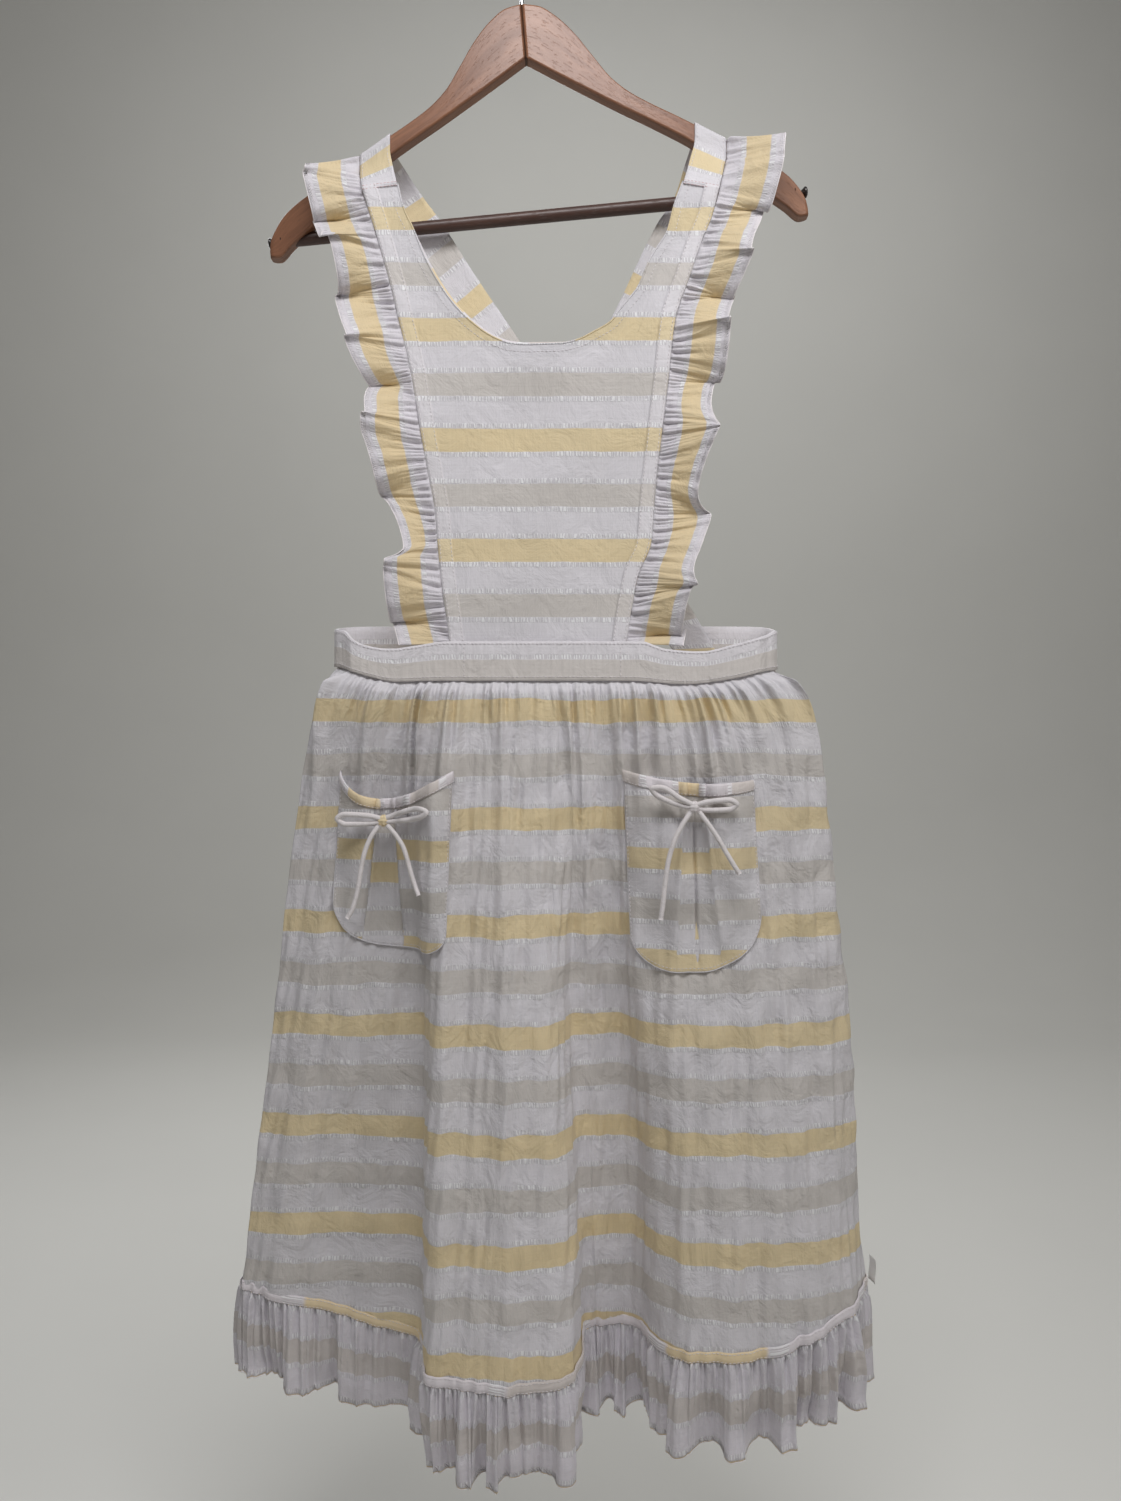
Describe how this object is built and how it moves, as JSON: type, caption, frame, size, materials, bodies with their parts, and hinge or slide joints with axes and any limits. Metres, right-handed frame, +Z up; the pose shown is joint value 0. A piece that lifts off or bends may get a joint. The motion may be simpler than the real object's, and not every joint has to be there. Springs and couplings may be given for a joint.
{
  "type": "apron on a coat hanger",
  "caption": "Ruffled bib apron with crossed back straps, gathered skirt, hem ruffle and tied patch pockets, hung on a wooden coat hanger with a swivel hook and trouser bar.",
  "frame": {"origin": "inner crown of the hook, where it rests on a rail", "axes": "+Z up, +X to the right of a person facing the bib, -Y from the apron towards that person"},
  "size_m": [0.5412, 0.1421, 1.2417],
  "materials": {
    "steel": "bright plated wire",
    "wood": "satin lacquered reddish-brown wood",
    "dark_wood": "dark brown satin round dowel",
    "screw_metal": "dark glossy screw head",
    "striped_cotton": "thin semi-sheer cotton with broad yellow, lilac-white and beige stripes and fine raised dashes",
    "tie_cotton": "narrow matt cotton tie",
    "label_satin": "plain white satin label, blank"
  },
  "bodies": {
    "hook": {"hook_wire": "steel"},
    "hanger": {"hanger_arm_left": "wood", "hanger_arm_right": "wood", "trouser_bar": "dark_wood", "bar_screw_left": "screw_metal", "bar_screw_right": "screw_metal"},
    "apron": {"bib_panel": "striped_cotton", "bib_edge_strip_left": "striped_cotton", "bib_edge_strip_right": "striped_cotton", "neckline_facing": "striped_cotton", "back_strap_left": "striped_cotton", "back_strap_right": "striped_cotton", "bib_ruffle_left": "striped_cotton", "bib_ruffle_right": "striped_cotton", "waistband_front": "striped_cotton", "waistband_back_left": "striped_cotton", "waistband_back_right": "striped_cotton", "skirt_front": "striped_cotton", "skirt_back_left": "striped_cotton", "skirt_back_right": "striped_cotton", "hem_binding_front": "striped_cotton", "hem_binding_back_left": "striped_cotton", "hem_binding_back_right": "striped_cotton", "hem_ruffle_front": "striped_cotton", "hem_ruffle_back_left": "striped_cotton", "hem_ruffle_back_right": "striped_cotton", "pocket_left": "striped_cotton", "pocket_right": "striped_cotton", "pocket_mouth_band_left": "striped_cotton", "pocket_mouth_band_right": "striped_cotton", "pocket_bow_left": "tie_cotton", "pocket_bow_right": "tie_cotton", "pocket_tie_left_a": "tie_cotton", "pocket_tie_left_b": "tie_cotton", "pocket_tie_right_a": "tie_cotton", "pocket_tie_right_b": "tie_cotton", "care_label": "label_satin"}
  },
  "joints": [
    {"name": "hook_swivel", "type": "hinge", "parent": "hook", "child": "hanger", "pos_m": [0.00674, 0, -0.08473], "axis": [-0.0793, 0, 0.9968], "continuous": true},
    {"name": "apron_lift", "type": "slide", "parent": "hanger", "child": "apron", "axis": [0, 0, 1], "range_m": [0, 0.06]}
  ]
}
